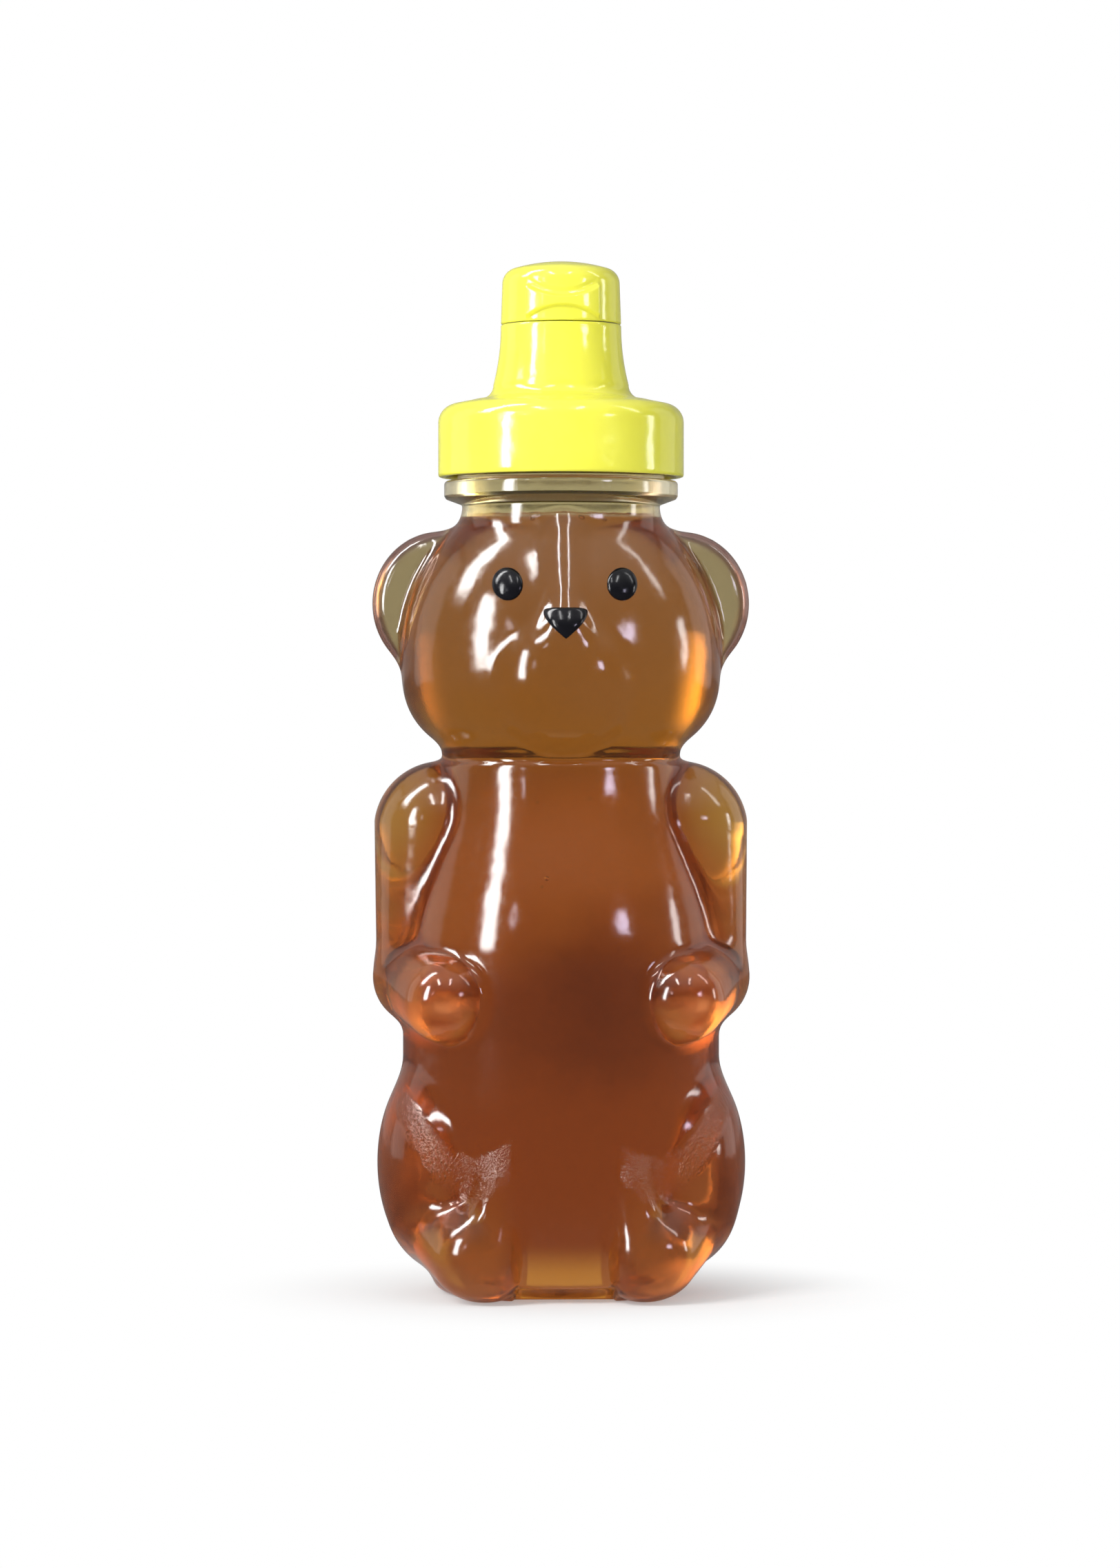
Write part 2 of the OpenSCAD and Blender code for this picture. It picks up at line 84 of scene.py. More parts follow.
# Neck finish, liner and closure
BEAD_Z, BEAD_H, BEAD_R = 133.1, 2.8, 19.6
BEAD_TOP = BEAD_Z + BEAD_H
FINISH_R, FINISH_T, MOUTH_Z = 17.4, 1.6, 146.6
PITCH, THREAD_DROP = 4.23, 1.9
LINER_T, SEAT_GAP = 0.9, 0.15
DECK_IN, DECK_Z, SKIRT_Z, SKIRT_R = 147.8, 149.7, 136.6, 20.6
CAP_WALL, SKIRT_T = 1.3, 1.5
PARTING_Z, LID_Z, LID_TOP = 162.1, 162.25, 172.75
TOWER_R, PARTING_R, LID_R, ORIFICE_R, NOZZLE_H = 11.35, 10.1, 9.85, 1.75, 1.7
NOZZLE_Z = PARTING_Z + NOZZLE_H
FLAT_Y, FLAT_UP, HINGE_W, HINGE_T = 9.23, 2.2, 7.4, 0.5


# Helpers for numbers and fields. A field is the distance to a form, negative inside it.
def mix(a, b, t):
    return a + (b - a) * t


def ramp(v, a, b):
    """Rises smoothly from 0 at a to 1 at b."""
    t = np.clip((v - a) / (b - a), 0, 1)
    return t * t * (3 - 2 * t)


def blend(a, b, k):
    """Two fields as one, with a fillet of about k."""
    h = np.maximum(k - np.abs(a - b), 0) / k
    return np.minimum(a, b) - h * h * k / 4


def trim(a, b, k):
    """What two fields have in common, with a rounding of about k."""
    return -blend(-a, -b, k)


def egg(x, y, z, middle, radii):
    q = [(v - m) / r for v, m, r in zip((x, y, z), middle, radii)]
    k0 = np.sqrt(q[0] ** 2 + q[1] ** 2 + q[2] ** 2)
    k1 = np.sqrt(sum((a / r) ** 2 for a, r in zip(q, radii)))
    return k0 * (k0 - 1) / np.maximum(k1, 1e-6)


def limb(x, y, z, a, b, ra, rb):
    """A round limb from a to b."""
    d = np.subtract(b, a)
    h = ((x - a[0]) * d[0] + (y - a[1]) * d[1] + (z - a[2]) * d[2]) / (d @ d)
    h = np.clip(h, 0, 1)
    far = (x - a[0] - h * d[0]) ** 2 + (y - a[1] - h * d[1]) ** 2 + (z - a[2] - h * d[2]) ** 2
    return np.sqrt(far) - mix(ra, rb, h)


# The forms of the bear, for x that isn't negative
def trunk(x, y, z):
    low, high = ramp(z, 0, HIP_Z), ramp(z, BELLY_Z, THROAT_Z + 1)
    w = mix(mix(FOOT_W, BELLY_W, low), THROAT_W, high) / 2
    d = mix(mix(FOOT_D, BELLY_D, low), THROAT_D, high) / 2
    groove = CREASE * np.exp(-((z - THROAT_Z) / CREASE_H) ** 2)
    side = (np.hypot(x / w, y / d) - 1) * np.minimum(w, d) + groove
    return trim(side, z - HEAD_Z, TRUNK_ROUND)


def head(x, y, z):
    rise = z - HEAD_Z
    low = -HEAD_DOWN * (np.maximum(-rise, 0) / HEAD_DOWN) ** CHIN_POWER
    up = np.where(rise > 0, HEAD_UP, HEAD_DOWN)
    return egg(x, y, np.where(rise > 0, rise, low), (0, 0, 0), (HEAD_W / 2, HEAD_D / 2, up))


def face(x, y, z):
    muzzle = egg(x, y, z, (0, -MUZZLE_Y, MUZZLE_Z), (MUZZLE_W / 2, MUZZLE_RY, MUZZLE_H / 2))
    bridge = limb(x, y, z, (0, BROW_R - BROW_Y, BROW_Z), (0, -BRIDGE_Y, BRIDGE_Z), BROW_R, BRIDGE_R)
    return blend(muzzle, bridge, SNOUT_BLEND)


def ear_edge(x, z):
    """Distance to the ear's outline, seen from the front."""
    return (np.hypot((x - EAR_X) * 2 / EAR_W, (z - EAR_Z) * 2 / EAR_H) - 1) * EAR_W / 2


def ear(x, y, z):
    return np.hypot(np.maximum(ear_edge(x, z) + EAR_T / 2, 0), y - SEAM_Y) - EAR_T / 2


def arm(x, y, z):
    elbow = (ELBOW_X, ELBOW_Y, ELBOW_Z)
    upper = limb(x, y, z, (SHOULDER_X, SEAM_Y, SHOULDER_Z), elbow, SHOULDER_R, ELBOW_R)
    return blend(upper, limb(x, y, z, elbow, (PAW_X, -PAW_Y, PAW_Z), ELBOW_R, PAW_R), LIMB_BLEND)


def leg(x, y, z):
    thigh = egg(x, y, z, (THIGH_X, THIGH_Y, THIGH_Z), (THIGH_RX, THIGH_RY, THIGH_RZ))
    shin = limb(x, y, z, (THIGH_X, KNEE_Y, KNEE_Z), (ANKLE_X, -ANKLE_Y, ANKLE_Z), KNEE_R, SHIN_R)
    sole = limb(x, y, z, (FOOT_X, -FOOT_Y, HEEL_Z), (TOE_X, -TOE_Y, TOE_Z - TOE_R), FOOT_R, TOE_R)
    return blend(blend(thigh, shin, LIMB_BLEND), sole, LIMB_BLEND)


def skin(x, y, z, ears=True):
    """Distance to the bear's outside."""
    x = np.abs(x)
    v = blend(trunk(x, y, z), head(x, y, z), NECK_BLEND)
    v = np.where(z > THROAT_Z, blend(v, face(x, y, z), FACE_BLEND), v)
    if ears:
        v = np.where(z > THROAT_Z, blend(v, ear(x, y, z), EAR_BLEND), v)
    v = np.where(z < SHOULDER_Z + SHOULDER_R + LIMB_BLEND, blend(v, arm(x, y, z), LIMB_BLEND), v)
    v = np.where(z < THIGH_Z + THIGH_RZ + LIMB_BLEND, blend(v, leg(x, y, z), LIMB_BLEND), v)
    neck = np.hypot(x, y) - NECK_D / 2 + NECK_FADE * np.maximum(CROWN_Z - z, 0)
    v = np.where(z > CROWN_Z, blend(v, neck, NECK_BLEND), v)
    push = PUSH_UP * (1 - ramp(np.hypot(x, y), STANDING_R - PUSH_EASE, STANDING_R))
    v = trim(v, push - z, BASE_ROUND)
    arch = np.minimum(np.minimum(ARCH_UP - z, ARCH_X - x), -y - FOOT_Y + FOOT_R)
    return trim(v, arch, ARCH_BLEND)


def slope(field, points, h=0.02):
    """Gradient of a field at points."""
    out = np.zeros_like(points)
    for axis in range(3):
        step = np.zeros(3)
        step[axis] = h
        out[:, axis] = (field(*(points + step).T) - field(*(points - step).T)) / (2 * h)
    return out


def settle(field, points, rounds=3):
    """Moves points onto the field's zero."""
    for _ in range(rounds):
        g = slope(field, points)
        v = field(*points.T)
        points = points - (v / np.maximum((g * g).sum(1), 0.05))[:, None] * g
    return points


# Meshes
def mesh(name, verts, faces, material, smooth=True):
    """A new object from points in millimetres."""
    data = bpy.data.meshes.new(name)
    verts = np.asarray(verts, float) * 0.001
    data.from_pydata(verts.tolist(), [], [tuple(int(i) for i in f) for f in faces])
    data.validate()
    data.update()
    if smooth:
        data.polygons.foreach_set("use_smooth", [True] * len(data.polygons))
    made = bpy.data.objects.new(name, data)
    bpy.context.scene.collection.objects.link(made)
    data.materials.append(material)
    return made


def mark(made, name, values):
    """Gives each point of a mesh a number that its material reads."""
    made.data.attributes.new(name, "FLOAT", "POINT").data.foreach_set("value", values)


def nets(v, axes):
    """Quads around the zero of a field that is sampled on a grid, open where it leaves the top."""
    corners = [(a, b, c) for a in (0, 1) for b in (0, 1) for c in (0, 1)]
    inside = v < 0
    nx, ny, nz = (len(axis) - 1 for axis in axes)
    count = sum(inside[a:nx + a, b:ny + b, c:nz + c].astype(np.int8) for a, b, c in corners)
    mixed = (count > 0) & (count < 8)
    at = np.nonzero(mixed)
    number = np.full(mixed.shape, -1)
    number[at] = np.arange(len(at[0]))
    # one vertex in each cell that the zero runs through, in the middle of where it cuts the edges
    total, hits = np.zeros((len(at[0]), 3)), np.zeros(len(at[0]))
    for p in corners:
        for axis in range(3):
            if p[axis]:
                continue
            q = list(p)
            q[axis] = 1
            pa = tuple(at[i] + p[i] for i in range(3))
            pb = tuple(at[i] + q[i] for i in range(3))
            fa, fb = v[pa], v[pb]
            cross = (fa < 0) != (fb < 0)
            t = np.where(cross, fa / np.where(cross, fa - fb, 1), 0)
            for i in range(3):
                total[:, i] += np.where(cross, mix(axes[i][pa[i]], axes[i][pb[i]], t), 0)
            hits += cross
    verts = total / hits[:, None]
    # one quad round each edge that the zero cuts
    quads = []
    for axis in range(3):
        u, w = (axis + 1) % 3, (axis + 2) % 3
        lo = [slice(1, -1)] * 3
        hi = [slice(1, -1)] * 3
        lo[axis], hi[axis] = slice(0, -1), slice(1, None)
        a, b = inside[tuple(lo)], inside[tuple(hi)]
        for flip, hit in ((False, a & ~b), (True, ~a & b)):
            i = list(np.nonzero(hit))
            i[u] = i[u] + 1
            i[w] = i[w] + 1
            ring = []
            for du, dw in ((-1, -1), (0, -1), (0, 0), (-1, 0)):
                j = list(i)
                j[u] = i[u] + du
                j[w] = i[w] + dw
                ring.append(number[tuple(j)])
            quads.append(np.stack(ring[::-1] if flip else ring, 1))
    return verts, np.concatenate(quads)


def stations(low, high, coarse, spots=()):
    """Grid stations, closer together around some places: spots is (middle, half width, step)."""
    out, z = [low], low
    while z < high:
        z += min([step for middle, half, step in spots if abs(z - middle) < half] + [coarse])
        out.append(z)
    out = np.array(out)
    return low + (out - low) * (high - low) / (out[-1] - low)


def rim_of(quads):
    """Vertices on the open edge of a mesh."""
    edges = np.concatenate([quads[:, [i, (i + 1) % 4]] for i in range(4)])
    pairs, uses = np.unique(np.sort(edges, 1), axis=0, return_counts=True)
    return np.unique(pairs[uses == 1])


def sew(verts, ia, ib):
    """Triangles between two rings of vertices that go round the axis."""
    ta = np.arctan2(verts[ia, 1], verts[ia, 0])
    tb = np.arctan2(verts[ib, 1], verts[ib, 0])
    ia, ta = ia[np.argsort(ta)], np.sort(ta)
    ib, tb = ib[np.argsort(tb)], np.sort(tb)
    # the angle to which each ring's next step leads, round to the first vertex again
    next_a, next_b = np.append(ta[1:], ta[0] + 2 * math.pi), np.append(tb[1:], tb[0] + 2 * math.pi)
    faces, i, j = [], 0, 0
    while i < len(ia) or j < len(ib):
        a, b = ia[i % len(ia)], ib[j % len(ib)]
        if i < len(ia) and (j >= len(ib) or next_a[i] <= next_b[j]):
            faces.append((a, ia[(i + 1) % len(ia)], b))
            i += 1
        else:
            faces.append((a, ib[(j + 1) % len(ib)], b))
            j += 1
    return faces


def lathe(profile, n, closed=True, bend=None):
    """Rings of a turned form. profile is a list of (r, z); bend moves its points (theta, r, z)."""
    profile = np.array(profile, float)
    rows = len(profile)
    r = np.repeat(profile[:, 0][:, None], n, 1)
    z = np.repeat(profile[:, 1][:, None], n, 1)
    t = np.repeat((np.arange(n) * 2 * math.pi / n)[None], rows, 0)
    if bend:
        r, z = bend(t, r, z)
    verts = np.stack([r * np.cos(t), r * np.sin(t), z], 2).reshape(-1, 3)
    row = np.arange(rows if closed else rows - 1)[:, None] * n
    up = (row + n) % (rows * n)
    here, following = np.arange(n), (np.arange(n) + 1) % n
    return verts, np.stack([(row + here).ravel(), (row + following).ravel(),
                            (up + following).ravel(), (up + here).ravel()], 1)


def rounded(corners, step=0.35):
    """Profile through corners (r, z, radius), with round corners and cut into short lengths."""
    nearly_straight = 1.55
    points = []
    for i, (r, z, radius) in enumerate(corners):
        here = np.array((r, z), float)
        u = np.array(corners[i - 1][:2], float) - here
        v = np.array(corners[(i + 1) % len(corners)][:2], float) - here
        lu, lv = np.linalg.norm(u), np.linalg.norm(v)
        u, v = u / lu, v / lv
        half = math.acos(np.clip(u @ v, -1, 1)) / 2
        if radius <= 0 or half > nearly_straight:
            points.append(here)
            continue
        cut = min(radius / math.tan(half), lu * 0.49, lv * 0.49)
        a, b = here + u * cut, here + v * cut
        for t in np.linspace(0, 1, 6):
            points.append((1 - t) ** 2 * a + 2 * t * (1 - t) * here + t * t * b)
    out = []
    for i, p in enumerate(points):
        q = points[(i + 1) % len(points)]
        k = max(1, int(math.ceil(np.linalg.norm(q - p) / step)))
        out += [p + (q - p) * j / k for j in range(k)]
    return out


def arc(r, z, radius, start, end, n):
    """Points of a profile on an arc, between two angles in degrees."""
    angles = [math.radians(mix(start, end, i / n)) for i in range(n + 1)]
    return [(r + radius * math.cos(a), z + radius * math.sin(a)) for a in angles]


def upright(r, start, end, n):
    """Points of a profile straight up or down."""
    return [(r, z) for z in np.linspace(start, end, n)]


def level(z, start, end, n):
    """Points of a profile straight in or out."""
    return [(r, z) for r in np.linspace(start, end, n)]


# Helpers for materials. A value is a number or another node's output.
def new_material(name, values):
    """A material whose shader has these values on its own sockets."""
    m = bpy.data.materials.new(name)
    m.use_nodes = True
    shader = m.node_tree.nodes["Principled BSDF"]
    for k, v in values.items():
        shader.inputs[k].default_value = v
    return m, m.node_tree, shader.inputs


def node(nt, kind, **values):
    n = nt.nodes.new(kind)
    for k, v in values.items():
        if k in n.inputs:
            n.inputs[k].default_value = v
        else:
            setattr(n, k, v)
    return n


def maths(nt, operation, *values):
    n = node(nt, "ShaderNodeMath", operation=operation)
    for i, v in enumerate(values):
        if isinstance(v, (int, float)):
            n.inputs[i].default_value = v
        else:
            nt.links.new(v, n.inputs[i])
    return n.outputs[0]


def plus(nt, a, b):
    return maths(nt, "ADD", a, b)


def minus(nt, a, b):
    return maths(nt, "SUBTRACT", a, b)


def times(nt, a, b):
    return maths(nt, "MULTIPLY", a, b)


def most(nt, a, b):
    return maths(nt, "MAXIMUM", a, b)


def distance(nt, a, b):
    return maths(nt, "SQRT", plus(nt, times(nt, a, a), times(nt, b, b)))


def place(nt):
    """Object coordinates in millimetres."""
    scale = node(nt, "ShaderNodeVectorMath", operation="SCALE")
    scale.inputs["Scale"].default_value = 1000
    nt.links.new(node(nt, "ShaderNodeTexCoord").outputs["Object"], scale.inputs[0])
    return scale.outputs[0]


def split(nt, vector):
    n = node(nt, "ShaderNodeSeparateXYZ")
    nt.links.new(vector, n.inputs[0])
    return n.outputs


def attribute(nt, name):
    return node(nt, "ShaderNodeAttribute", attribute_name=name).outputs["Fac"]


def noise(nt, where, scale, detail=3, rough=0.5):
    n = node(nt, "ShaderNodeTexNoise", Scale=scale, Detail=detail, Roughness=rough)
    nt.links.new(where, n.inputs["Vector"])
    return n.outputs["Fac"]


def remap(nt, value, a, b, at_a=0, at_b=1):
    """Goes smoothly from at_a, where the value is a, to at_b, where it is b."""
    n = node(nt, "ShaderNodeMapRange", interpolation_type="SMOOTHSTEP")
    for i, x in enumerate((a, b, at_a, at_b)):
        n.inputs[i + 1].default_value = x
    nt.links.new(value, n.inputs[0])
    return n.outputs[0]


def bump(nt, height, distance_mm, strength):
    n = node(nt, "ShaderNodeBump", Strength=strength, Distance=distance_mm * 0.001)
    nt.links.new(height, n.inputs["Height"])
    return n.outputs["Normal"]


def blend_colors(nt, share, a, b):
    """A mix of two colours, each (red, green, blue) or an output."""
    n = node(nt, "ShaderNodeMix", data_type="RGBA")
    nt.links.new(share, n.inputs[0])
    # the mix node's sockets 6 and 7 are its two colours, and output 2 is the mixed one
    for i, v in ((6, a), (7, b)):
        if isinstance(v, tuple):
            n.inputs[i].default_value = (*v, 1)
        else:
            nt.links.new(v, n.inputs[i])
    return n.outputs[2]


# Materials. The tints are what light keeps on its way in and out again: of bare wall, and of wall with
# much or little honey behind it. Two are painted light and shade: painted shade darkens the ears
# towards their outline, and painted light brightens the bottom of the belly between the feet.
CLEAR_TINT, EAR_SHADE_TINT = (0.62, 0.57, 0.39), (0.20, 0.10, 0.085)
BELLY_TINT, WAIST_TINT = (0.23, 0.056, 0.011), (0.32, 0.098, 0.018)
CHEST_TINT, MURK_TINT = (0.24, 0.078, 0.014), (0.13, 0.032, 0.009)
HEAD_TINT, CHIN_TINT = (0.27, 0.125, 0.034), (0.29, 0.118, 0.011)
ARM_TINT, PAW_TINT = (0.40, 0.25, 0.055), (1.0, 0.50, 0.20)
# the second tint on the next line is painted light, for the bottom of the belly between the feet
LEG_TINT, UNDERLIGHT_TINT = (0.36, 0.16, 0.050), (0.50, 0.23, 0.035)
WHITE = (1, 1, 1)

MURK_X, MURK_Z = 6, 47
LEDGE_X, LEDGE_Z, LEDGE_SAG = 15, 20.5, 0.09


def wall_tint(nt, at, on_limb):
    """Colour of the wall, deep in the belly, golden in the head and pale where it is bare."""
    cloud_reach, spot_reach = 40, 24
    x, y, z = split(nt, at)
    side = maths(nt, "ABSOLUTE", x)
    # the height, moved up and down by wide clouds
    cloud = minus(nt, noise(nt, at, 0.035, 2), 0.5)
    height = plus(nt, z, times(nt, cloud, cloud_reach))
    # painted light: the bottom between the feet is lighter and yellower, as if lit from underneath
    underlit_middle = times(nt, remap(nt, z, 3, 10, 1, 0), remap(nt, side, 7, 9.5, 1, 0))
    # a darker cloud in the belly
    spot = distance(nt, minus(nt, x, MURK_X), minus(nt, z, MURK_Z))
    spot = plus(nt, spot, times(nt, noise(nt, at, 0.09, 4, 0.6), spot_reach))
    amber = BELLY_TINT
    for share, color in (
            (remap(nt, height, 48, 66), WAIST_TINT), (remap(nt, height, 72, 86), CHEST_TINT),
            (remap(nt, z, THROAT_Z - 3, THROAT_Z + 3), CHIN_TINT), (underlit_middle, UNDERLIGHT_TINT),
            (remap(nt, height, 97, 113), HEAD_TINT), (remap(nt, spot, 12, 32, 0.9, 0), MURK_TINT)):
        amber = blend_colors(nt, share, amber, color)
    arms = blend_colors(nt, remap(nt, y, -13, -17), ARM_TINT, PAW_TINT)
    amber = blend_colors(nt, on_limb, amber, blend_colors(nt, remap(nt, z, 38, 44), LEG_TINT, arms))
    # painted shade: the bare ears darken towards their outline
    clear = blend_colors(nt, attribute(nt, "ear_rim_shade"), CLEAR_TINT, EAR_SHADE_TINT)
    return blend_colors(nt, attribute(nt, "backed"), clear, amber)


def wall_relief(nt, at, on_limb, fine):
    """Waves and grain of the blown wall, grained ledges on top of the thighs, and the mould seam."""
    x, y, z = split(nt, at)
    side = maths(nt, "ABSOLUTE", x)
    across = minus(nt, side, LEDGE_X)
    ledge = plus(nt, times(nt, times(nt, across, across), LEDGE_SAG), LEDGE_Z)
    zone = remap(nt, maths(nt, "ABSOLUTE", minus(nt, z, ledge)), 1.5, 5, 1, 0)
    zone = times(nt, zone, remap(nt, side, 7.5, 10))
    zone = times(nt, zone, remap(nt, y, -12, -7, 1, 0))
    off_seam = times(nt, maths(nt, "ABSOLUTE", minus(nt, y, SEAM_Y)), 5)
    seam = times(nt, minus(nt, 1, maths(nt, "MINIMUM", 1, off_seam)), remap(nt, side, 14, 17))
    height = times(nt, noise(nt, at, 0.11, 2), 0.28)
    for layer, depth in ((fine, remap(nt, on_limb, 0, 1, 0.012, 0.032)),
                         (times(nt, noise(nt, at, 1.5, 3, 0.65), zone), 0.75), (seam, 0.08)):
        height = plus(nt, height, times(nt, layer, depth))
    return height


def clear_wall():
    """Where honey wets the wall's inside, the two pass light on as one body."""
    m, nt, shader = new_material("clear_wall", {"Transmission Weight": 1})
    at, on_limb, wet = place(nt), attribute(nt, "limb"), attribute(nt, "wet")
    fine = noise(nt, at, 0.9, 2)
    nt.links.new(blend_colors(nt, wet, wall_tint(nt, at, on_limb), WHITE), shader["Base Color"])
    nt.links.new(remap(nt, wet, 0.2, 0.8, 1.5, 1.0), shader["IOR"])
    nt.links.new(bump(nt, wall_relief(nt, at, on_limb, fine), 1.0, 0.6), shader["Normal"])
    nt.links.new(remap(nt, fine, 0.3, 0.8, 0.10, 0.16), shader["Roughness"])
    return m


def honey_stuff():
    """Its free surface bends light, and the rest is one body with the wall."""
    m, nt, shader = new_material("honey", {
        "Base Color": (1, 1, 1, 1), "Transmission Weight": 1, "Roughness": 0.0})
    z = split(nt, place(nt))[2]
    nt.links.new(remap(nt, z, FILL_Z - 0.25, FILL_Z - 0.1, 1.0, 1.49), shader["IOR"])
    absorb = node(nt, "ShaderNodeVolumeAbsorption", Color=(0.74, 0.36, 0.20, 1), Density=10)
    nt.links.new(absorb.outputs[0], nt.nodes["Material Output"].inputs["Volume"])
    return m


def gloss_paint():
    m, nt, shader = new_material("black_paint", {"Base Color": (0.006, 0.006, 0.008, 1), "IOR": 1.33})
    at = place(nt)
    nt.links.new(remap(nt, noise(nt, at, 1.6, 3), 0.3, 0.7, 0.12, 0.2), shader["Roughness"])
    nt.links.new(bump(nt, noise(nt, at, 0.7, 2), 0.05, 0.6), shader["Normal"])
    return m


def yellow_plastic():
    m, nt, shader = new_material("closure_yellow", {
        "IOR": 1.5, "Subsurface Weight": 0.15, "Subsurface Radius": (1.0, 0.9, 0.3),
        "Subsurface Scale": 0.001})
    at = place(nt)
    fine = noise(nt, at, 3.0, 3)
    mottled = blend_colors(nt, noise(nt, at, 0.12, 3), (0.93, 0.90, 0.075), (0.97, 0.95, 0.11))
    nt.links.new(mottled, shader["Base Color"])
    nt.links.new(remap(nt, fine, 0.3, 0.7, 0.10, 0.17), shader["Roughness"])
    height = plus(nt, times(nt, noise(nt, at, 0.22, 2), 0.25), times(nt, fine, 0.012))
    nt.links.new(bump(nt, height, 1.0, 0.5), shader["Normal"])
    return m


def foam():
    m, nt, shader = new_material("liner_foam", {"Base Color": (0.86, 0.86, 0.83, 1)})
    cells = node(nt, "ShaderNodeTexVoronoi", Scale=3.0)
    nt.links.new(place(nt), cells.inputs["Vector"])
    nt.links.new(remap(nt, cells.outputs["Distance"], 0, 0.5, 0.55, 0.75), shader["Roughness"])
    nt.links.new(bump(nt, cells.outputs["Distance"], 0.08, 0.6), shader["Normal"])
    return m


def air_bubble():
    """Air in honey bends light the other way."""
    return new_material("bubble_air", {
        "Base Color": (1, 1, 1, 1), "Transmission Weight": 1, "IOR": 0.67, "Roughness": 0.0})[0]


WALL_MAT, HONEY_MAT, PAINT_MAT = clear_wall(), honey_stuff(), gloss_paint()
CAP_MAT, LINER_MAT, BUBBLE_MAT = yellow_plastic(), foam(), air_bubble()


# Bottle and honey. The skin's mesh is open at its top, where the turned neck is sewn to it.
NECK_N, NECK_JOIN = 192, NECK_Z + 0.25
HONEY_GAP, MENISCUS_W, MENISCUS_UP = 0.03, 0.9, 0.35

# the grid is finer at the throat crease, the base and the honey's top
grid_step = 0.8
finer = [(THROAT_Z, 2.2, 0.4), (1.5, 2.5, 0.5), (FILL_Z, 3, 0.6)]
grid = (stations(-33.5, 33.5, grid_step), stations(-28.5, 27.5, grid_step),
        stations(-1.6, NECK_Z + 0.3, grid_step, finer))
gx, gy, gz = np.meshgrid(*grid, indexing="ij")
skin_grid = skin(gx, gy, gz)


def thread(t, z, lead, half, length):
    """Height from 0 to 1 of a screw thread, faded at both ends. lead and length are in turns."""
    steep, fade = 1.6, 0.06
    out = np.zeros_like(z)
    for k in range(3):
        along = (t + 2 * math.pi * k) / (2 * math.pi)
        middle = MOUTH_Z - THREAD_DROP - PITCH * (along + lead)
        ridge = np.minimum(np.clip(1 - np.abs(z - middle) / half, 0, 1) * steep, 1)
        ends = np.clip(along / fade, 0, 1) * np.clip((length - along) / fade, 0, 1)
        out = np.maximum(out, ridge * ends)
    return out


def neck_bend(t, r, z):
    """One and a quarter turns of thread on the outside of the finish."""
    here = (r > FINISH_R - 0.05) & (z > BEAD_TOP + 0.3)
    return r + np.where(here, thread(t, z, 0, 0.95, 1.3), 0), z


def neck_profile():
    """Up the outside of neck and finish, and down the inside again."""
    outer_r = NECK_D / 2
    inner_r, mouth_r = outer_r - WALL, FINISH_R - FINISH_T
    loop = rounded([(outer_r, NECK_JOIN, 0), (outer_r, NECK_Z + 0.9, 0.7),
                    (BEAD_R - 0.3, BEAD_Z - 0.2, 0.5), (BEAD_R, BEAD_Z + 0.3, 0.5),
                    (BEAD_R, BEAD_TOP, 0.7), (FINISH_R, BEAD_TOP + 0.1, 0.5), (FINISH_R, MOUTH_Z, 0.4),
                    (mouth_r, MOUTH_Z, 0.4), (mouth_r, BEAD_TOP, 1.0), (inner_r, BEAD_Z, 1.0),
                    (inner_r, NECK_JOIN, 0)])
    # the stretch that closes the loop underneath goes
    while abs(loop[-1][1] - NECK_JOIN) < 1e-6 and loop[-1][0] > inner_r + 1e-6:
        loop.pop()
    return loop


def build_bottle():
    outer, outer_quads = nets(skin_grid, grid)
    outer = settle(skin, outer)
    inner, inner_quads = nets(skin_grid + WALL, grid)
    inner = settle(lambda x, y, z: skin(x, y, z) + WALL, inner)
    outer_n, skin_n = len(outer), len(outer) + len(inner)
    inner_quads = inner_quads[:, ::-1] + outer_n
    loop = neck_profile()
    neck, neck_quads = lathe(loop, NECK_N, closed=False, bend=neck_bend)
    verts = np.concatenate([outer, inner, neck])
    first = skin_n + np.arange(NECK_N)
    last = first + (len(loop) - 1) * NECK_N
    faces = [tuple(f) for quads in (outer_quads, inner_quads, neck_quads + skin_n) for f in quads]
    faces += sew(verts, rim_of(outer_quads), first)
    faces += [f[::-1] for f in sew(verts, rim_of(inner_quads), last)]
    made = mesh("bottle_wall", verts, faces, WALL_MAT)
    mark_wall(made, verts, outer_n, skin_n)
    return made


def mark_wall(made, verts, outer_n, skin_n):
    """Marks where the wall has honey behind it, where honey wets it, how far it stands out of the
    trunk, and painted shade that darkens the ears towards their outline. The neck's points come after
    skin_n and keep zeros."""
    x, y, z = verts[:skin_n].T
    no_ear = skin(x, y, z, ears=False) + np.where(np.arange(skin_n) < outer_n, 0, WALL)
    x = np.abs(x)
    marks = {name: np.zeros(len(verts)) for name in ("backed", "wet", "limb", "ear_rim_shade")}
    marks["backed"][:skin_n] = np.clip((FILL_Z - 0.2 - z) / 0.5, 0, 1) * ramp(-no_ear, -0.9, -0.1)
    marks["wet"][outer_n:] = marks["backed"][outer_n:] > 0.5
    marks["limb"][:skin_n] = ramp(trunk(x, y, z), 0.5, 8.0) * (z < THROAT_Z)
    # painted shade on the ears: a fifth of it over the ear, rising to all of it at the ear's outline
    edge = mix(0.2, 1, ramp(ear_edge(x, z), -1.7, -0.5))
    marks["ear_rim_shade"][:skin_n] = edge * ramp(no_ear, 0.2, 1.0) * (z < CROWN_Z + 9)
    for name, values in marks.items():
        mark(made, name, values)


def honey_field(x, y, z):
    """The honey keeps out of the ears, and its top curves up at the wall."""
    body = skin(x, y, z, ears=False) + WALL + HONEY_GAP
    edge = np.clip(np.hypot(x, y) - (NECK_D / 2 - WALL - MENISCUS_W), 0, 1)
    return trim(body, z - FILL_Z - MENISCUS_UP * edge ** 2, 0.25)


